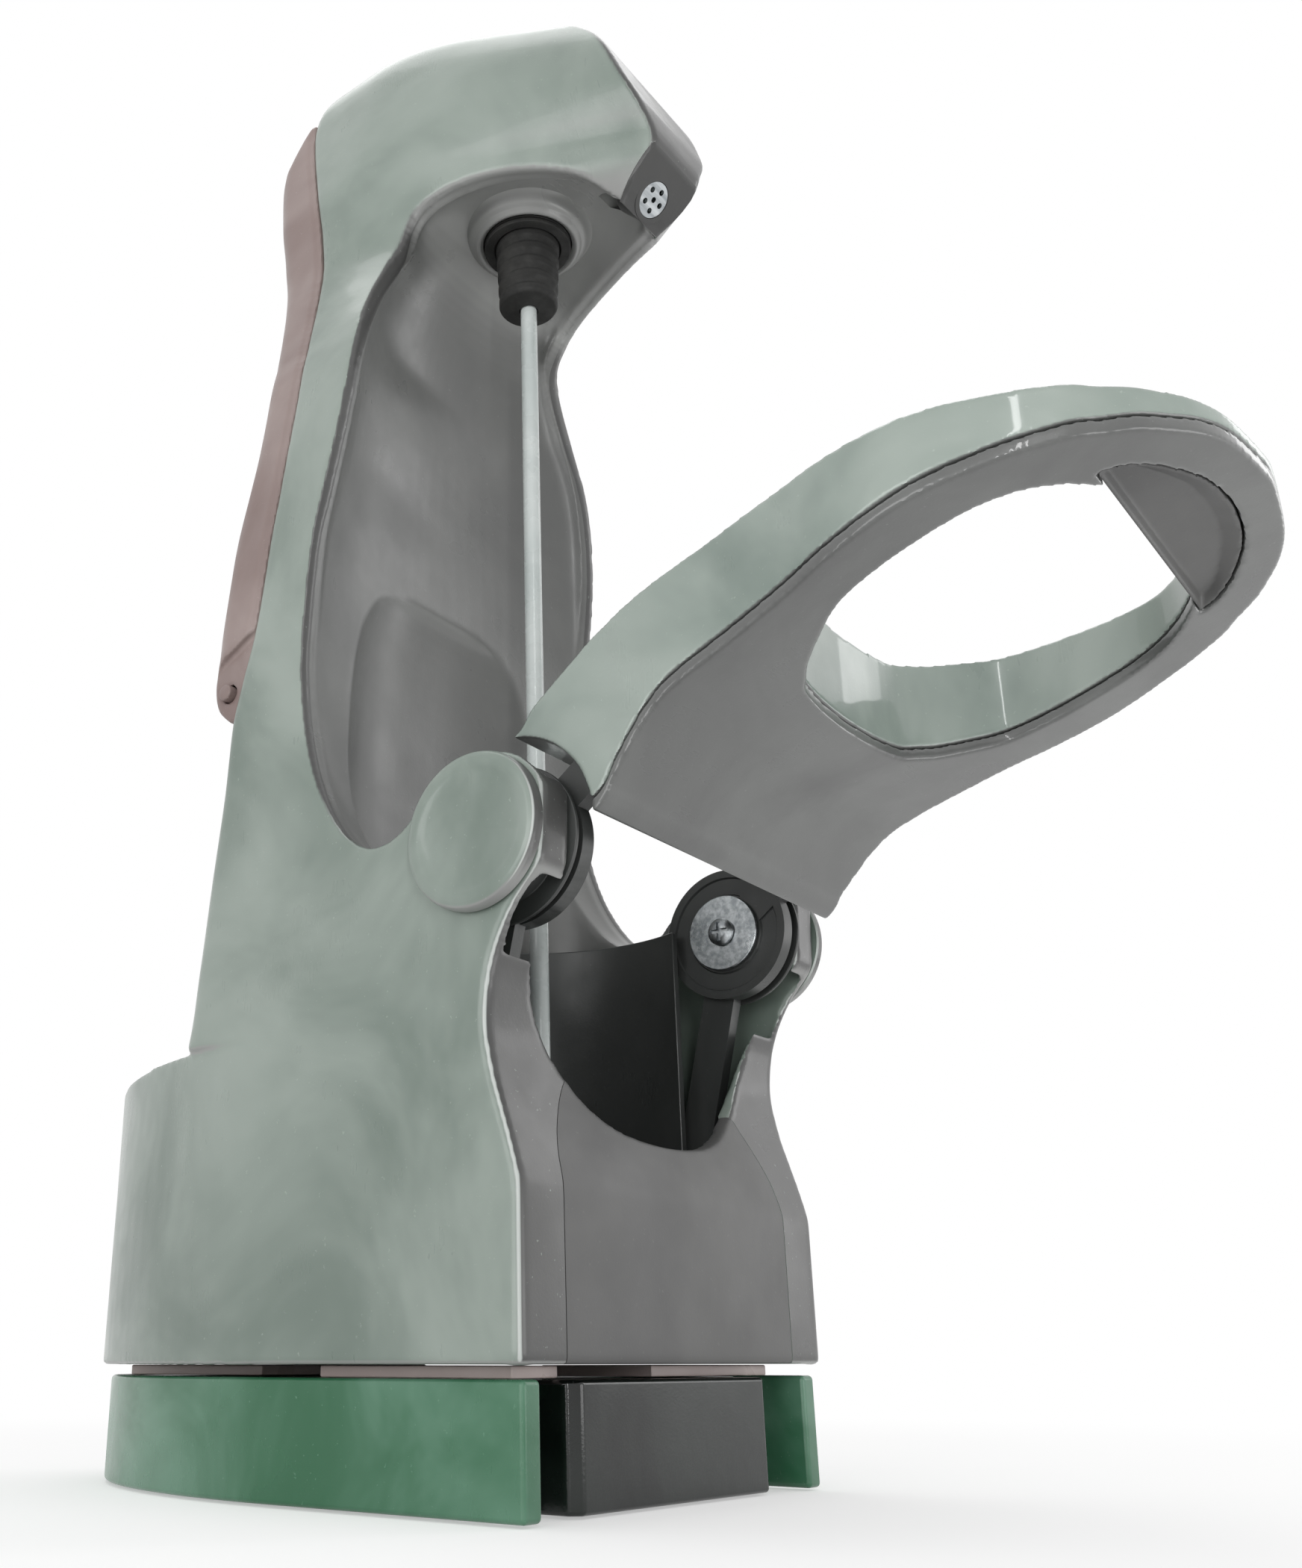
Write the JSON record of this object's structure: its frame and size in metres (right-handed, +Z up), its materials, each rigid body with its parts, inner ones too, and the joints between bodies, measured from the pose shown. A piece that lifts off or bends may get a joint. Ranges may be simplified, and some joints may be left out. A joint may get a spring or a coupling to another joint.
{
  "type": "manual cider pourer",
  "caption": "Upright hand-worked cider pourer: hooked column with a bottle bay, a sieve spout in its head, and a ring lever that works an air pump in its tail.",
  "frame": {"origin": "middle of the foot's underside, on the grip mat's bottom face", "axes": "+Z up, -Y towards the lever and spout, +X to the pourer's right as seen from its own back, across the hinge"},
  "size_m": [0.1288, 0.3169, 0.406],
  "materials": {
    "casing_plastic": "gloss",
    "inner_plastic": "gloss",
    "dark_plastic": "satin",
    "mauve_plastic": "satin",
    "green_plastic": "gloss",
    "black_plastic": "gloss",
    "natural_plastic": "satin",
    "rubber": "matt",
    "soft_tube": "satin",
    "steel": "polished"
  },
  "bodies": {
    "body": {"main_casing": "casing_plastic", "hub_cap_right": "casing_plastic", "hub_cap_left": "casing_plastic", "front_bib": "inner_plastic", "back_liner": "inner_plastic", "spout_bezel": "inner_plastic", "body_floor": "dark_plastic", "bottle_cradle": "dark_plastic", "collar_boss": "dark_plastic", "bottle_platform": "dark_plastic", "hub_barrel_right": "dark_plastic", "hub_barrel_left": "dark_plastic", "outlet_valve": "dark_plastic", "air_fitting": "dark_plastic", "rear_cover": "mauve_plastic", "cover_pin_right": "mauve_plastic", "cover_pin_left": "mauve_plastic", "riser_right": "mauve_plastic", "riser_left": "mauve_plastic", "riser_rear": "mauve_plastic", "foot_skirt": "green_plastic", "foot_deck": "green_plastic", "foot_front_block": "black_plastic", "foot_plate": "black_plastic", "pump_cylinder": "natural_plastic", "cylinder_cap": "natural_plastic", "platform_mat": "rubber", "grip_mat": "rubber", "bottle_stopper": "rubber", "mouth_seal": "rubber", "air_hose": "soft_tube", "dip_tube": "soft_tube", "spout_tube": "soft_tube", "return_spring_right": "steel", "return_spring_left": "steel", "spout_strainer": "steel"},
    "lever": {"lever_upper_shell": "casing_plastic", "lever_lower_cover": "inner_plastic", "finger_rest": "inner_plastic", "crank_right": "dark_plastic", "crank_left": "dark_plastic", "crank_pin_right": "steel", "crank_pin_left": "steel", "hub_axle_right": "steel", "hub_axle_left": "steel", "hub_washer_right": "steel", "hub_washer_left": "steel", "hub_screw_right": "steel", "hub_screw_left": "steel"},
    "pump": {"piston_yoke": "dark_plastic", "piston_rod": "steel", "piston": "natural_plastic", "piston_seal": "rubber"}
  },
  "joints": [
    {"name": "lever_hinge", "type": "hinge", "parent": "body", "child": "lever", "pos_m": [0, -0.07955, 0.135], "axis": [1, 0, 0], "range_deg": [0, 22], "stiffness_Nm_per_rad": 0.6, "springref_deg": -28.65},
    {"name": "pump_slide", "type": "slide", "parent": "body", "child": "pump", "axis": [0, 1, 0], "range_m": [0, 0.0254]}
  ],
  "couplings": [
    {"joint": "pump_slide", "follows": "lever_hinge", "m_per_rad": 0.0658}
  ]
}
